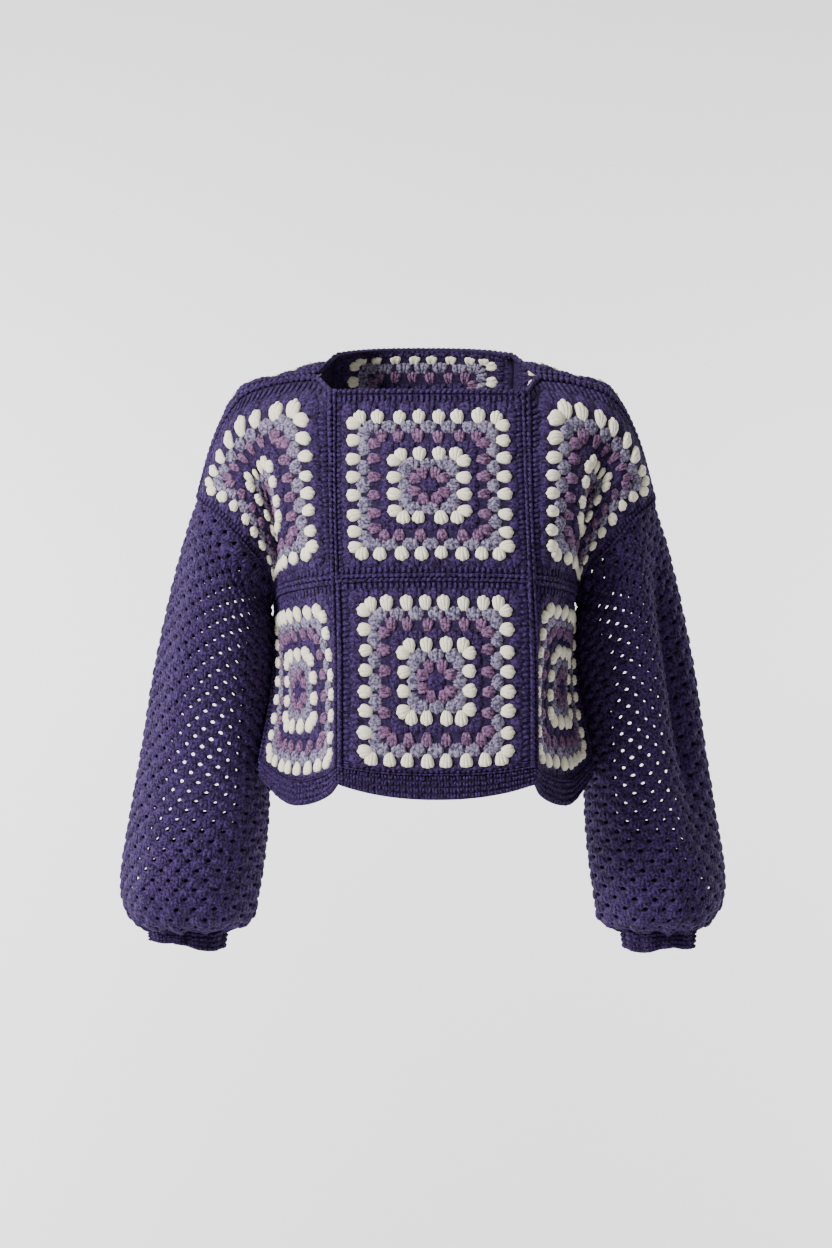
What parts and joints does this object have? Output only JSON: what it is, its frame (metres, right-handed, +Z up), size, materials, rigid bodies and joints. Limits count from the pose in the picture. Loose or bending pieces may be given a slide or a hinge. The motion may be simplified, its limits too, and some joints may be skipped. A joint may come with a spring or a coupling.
{
  "type": "granny square sweater",
  "caption": "Crocheted pullover of joined granny squares with balloon sleeves, in the form it has when worn, hollow, with open neck, hem, armholes and cuffs.",
  "frame": {"origin": "midway between the shoulders, at the height of the neck's corners, where the wearer's shoulders hold it up", "axes": "+Z up, -Y the front of the sweater, +X towards the wearer's left sleeve"},
  "size_m": [0.6448, 0.3036, 0.6456],
  "materials": {
    "front_upper_centre_square_yarn": "matt wool crochet in purple, mauve, grey lavender and cream rounds",
    "front_upper_left_square_yarn": "matt wool crochet in purple, mauve, grey lavender and cream rounds",
    "front_upper_right_square_yarn": "matt wool crochet in purple, mauve, grey lavender and cream rounds",
    "front_lower_centre_square_yarn": "matt wool crochet in purple, mauve, grey lavender and cream rounds",
    "front_lower_left_square_yarn": "matt wool crochet in purple, mauve, grey lavender and cream rounds",
    "front_lower_right_square_yarn": "matt wool crochet in purple, mauve, grey lavender and cream rounds",
    "back_upper_centre_square_yarn": "matt wool crochet in purple, mauve, grey lavender and cream rounds",
    "back_upper_left_square_yarn": "matt wool crochet in purple, mauve, grey lavender and cream rounds",
    "back_upper_right_square_yarn": "matt wool crochet in purple, mauve, grey lavender and cream rounds",
    "back_lower_centre_square_yarn": "matt wool crochet in purple, mauve, grey lavender and cream rounds",
    "back_lower_left_square_yarn": "matt wool crochet in purple, mauve, grey lavender and cream rounds",
    "back_lower_right_square_yarn": "matt wool crochet in purple, mauve, grey lavender and cream rounds",
    "left_sleeve_yarn": "matt wool crochet mesh in heathered dark purple",
    "right_sleeve_yarn": "matt wool crochet mesh in heathered dark purple",
    "left_cuff_yarn": "matt wool, dense rows of stitches in heathered dark purple",
    "right_cuff_yarn": "matt wool, dense rows of stitches in heathered dark purple",
    "hem_band_yarn": "matt wool, dense rows of stitches in heathered dark purple"
  },
  "bodies": {
    "root": {"front_upper_centre_square": "front_upper_centre_square_yarn", "front_upper_left_square": "front_upper_left_square_yarn", "front_upper_right_square": "front_upper_right_square_yarn", "front_lower_centre_square": "front_lower_centre_square_yarn", "front_lower_left_square": "front_lower_left_square_yarn", "front_lower_right_square": "front_lower_right_square_yarn", "back_upper_centre_square": "back_upper_centre_square_yarn", "back_upper_left_square": "back_upper_left_square_yarn", "back_upper_right_square": "back_upper_right_square_yarn", "back_lower_centre_square": "back_lower_centre_square_yarn", "back_lower_left_square": "back_lower_left_square_yarn", "back_lower_right_square": "back_lower_right_square_yarn", "left_sleeve": "left_sleeve_yarn", "right_sleeve": "right_sleeve_yarn", "left_cuff": "left_cuff_yarn", "right_cuff": "right_cuff_yarn", "hem_band": "hem_band_yarn"}
  },
  "joints": []
}
